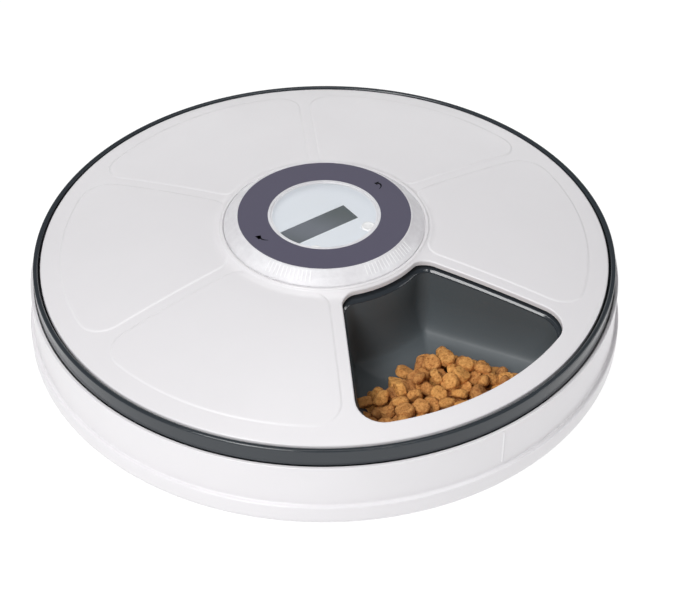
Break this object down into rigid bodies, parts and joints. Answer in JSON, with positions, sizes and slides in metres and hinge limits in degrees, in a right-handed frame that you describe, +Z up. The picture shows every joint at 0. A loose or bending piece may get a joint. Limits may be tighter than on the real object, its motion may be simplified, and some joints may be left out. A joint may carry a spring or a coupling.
{
  "type": "automatic pet feeder",
  "caption": "Round automatic pet feeder: a rotating tray of food compartments under a domed lid with a serving window, held by a clear twist cap over a clock display.",
  "frame": {"origin": "centre of the footprint, on the surface the feet stand on", "axes": "+Z up along the tray's turning axis, -Y towards the serving window"},
  "size_m": [0.33, 0.33, 0.073],
  "materials": {
    "white_shell": "gloss",
    "dark_tray": "satin gloss",
    "clear_cap": "clear moulded plastic",
    "printed_ring": "printed film",
    "panel_face": "satin",
    "display_glass": "display glass",
    "button_pad": "translucent silicone",
    "kibble_food": "dry baked food",
    "foot_rubber": "matte",
    "inner_plastic": "moulded",
    "acetal": "moulded acetal",
    "steel": "plated",
    "motor_can": "plated",
    "cell_jacket": "printed jacket",
    "circuit_board": "solder mask",
    "black_plastic": "moulded",
    "lead_wire": "insulation"
  },
  "bodies": {
    "base": {"base_pan": "white_shell", "base_shell": "white_shell", "rubber_feet": "foot_rubber", "base_screws": "steel", "battery_box": "inner_plastic", "batteries": "cell_jacket", "battery_contacts": "steel", "hub_column": "white_shell", "hub_screws": "steel", "gear_plate": "inner_plastic", "plate_screws": "steel", "drive_gear_pin": "steel", "gearbox": "inner_plastic", "motor": "motor_can", "position_switch": "black_plastic", "control_board": "circuit_board", "board_switches": "black_plastic", "buzzer": "black_plastic", "lcd_module": "black_plastic", "lcd_window": "display_glass", "control_panel": "panel_face", "panel_screws": "steel", "internal_leads": "lead_wire", "roller_pins": "steel"},
    "door": {"battery_door": "white_shell"},
    "gear": {"drive_gear": "acetal"},
    "pinion": {"motor_pinion": "steel"},
    "lever": {"switch_lever": "steel"},
    "left_key": {"button_left": "button_pad"},
    "right_key": {"button_right": "button_pad"},
    "tray": {"food_tray": "dark_tray", "kibble": "kibble_food"},
    "lid": {"lid": "white_shell"},
    "cap": {"twist_cap": "clear_cap", "cap_ring": "printed_ring"},
    "roller_1": {"tray_roller_1": "acetal"},
    "roller_2": {"tray_roller_2": "acetal"},
    "roller_3": {"tray_roller_3": "acetal"},
    "roller_4": {"tray_roller_4": "acetal"},
    "roller_5": {"tray_roller_5": "acetal"},
    "roller_6": {"tray_roller_6": "acetal"}
  },
  "joints": [
    {"name": "tray_spin", "type": "hinge", "parent": "base", "child": "tray", "pos_m": [0, 0, 0.012], "axis": [0, 0, 1], "continuous": true},
    {"name": "gear_spin", "type": "hinge", "parent": "base", "child": "gear", "pos_m": [0.042, 0, 0.0285], "axis": [0, 0, 1], "continuous": true},
    {"name": "pinion_spin", "type": "hinge", "parent": "base", "child": "pinion", "pos_m": [0.02363, 0, 0.0285], "axis": [0, 0, 1], "continuous": true},
    {"name": "lid_lift", "type": "slide", "parent": "base", "child": "lid", "axis": [0, 0, 1], "range_m": [0, 0.08]},
    {"name": "cap_twist", "type": "hinge", "parent": "lid", "child": "cap", "pos_m": [0, 0, 0.073], "axis": [0, 0, 1], "range_deg": [0, 36]},
    {"name": "left_button_press", "type": "slide", "parent": "base", "child": "left_key", "axis": [0, 0, -1], "range_m": [0, 0.0008], "stiffness_N_per_m": 300},
    {"name": "right_button_press", "type": "slide", "parent": "base", "child": "right_key", "axis": [0, 0, -1], "range_m": [0, 0.0008], "stiffness_N_per_m": 300},
    {"name": "lever_press", "type": "hinge", "parent": "base", "child": "lever", "pos_m": [-0.005, 0.0456, 0.0364], "axis": [0, 0, -1], "range_deg": [0, 12], "stiffness_Nm_per_rad": 0.02},
    {"name": "door_swing", "type": "hinge", "parent": "base", "child": "door", "pos_m": [0, 0.0326, 0.0023], "axis": [1, 0, 0], "range_deg": [0, 70]},
    {"name": "roller_1_spin", "type": "hinge", "parent": "base", "child": "roller_1", "pos_m": [0.09659, 0.02588, 0.00815], "axis": [0.9659, 0.2588, 0], "continuous": true},
    {"name": "roller_2_spin", "type": "hinge", "parent": "base", "child": "roller_2", "pos_m": [0.02588, 0.09659, 0.00815], "axis": [0.2588, 0.9659, 0], "continuous": true},
    {"name": "roller_3_spin", "type": "hinge", "parent": "base", "child": "roller_3", "pos_m": [-0.07071, 0.07071, 0.00815], "axis": [-0.7071, 0.7071, 0], "continuous": true},
    {"name": "roller_4_spin", "type": "hinge", "parent": "base", "child": "roller_4", "pos_m": [-0.09659, -0.02588, 0.00815], "axis": [-0.9659, -0.2588, 0], "continuous": true},
    {"name": "roller_5_spin", "type": "hinge", "parent": "base", "child": "roller_5", "pos_m": [-0.02588, -0.09659, 0.00815], "axis": [-0.2588, -0.9659, 0], "continuous": true},
    {"name": "roller_6_spin", "type": "hinge", "parent": "base", "child": "roller_6", "pos_m": [0.07071, -0.07071, 0.00815], "axis": [0.7071, -0.7071, 0], "continuous": true}
  ],
  "couplings": [
    {"joint": "gear_spin", "follows": "tray_spin", "ratio": 5},
    {"joint": "pinion_spin", "follows": "tray_spin", "ratio": -6.6667},
    {"joint": "roller_1_spin", "follows": "tray_spin", "ratio": -26.316},
    {"joint": "roller_2_spin", "follows": "tray_spin", "ratio": -26.316},
    {"joint": "roller_3_spin", "follows": "tray_spin", "ratio": -26.316},
    {"joint": "roller_4_spin", "follows": "tray_spin", "ratio": -26.316},
    {"joint": "roller_5_spin", "follows": "tray_spin", "ratio": -26.316},
    {"joint": "roller_6_spin", "follows": "tray_spin", "ratio": -26.316}
  ]
}
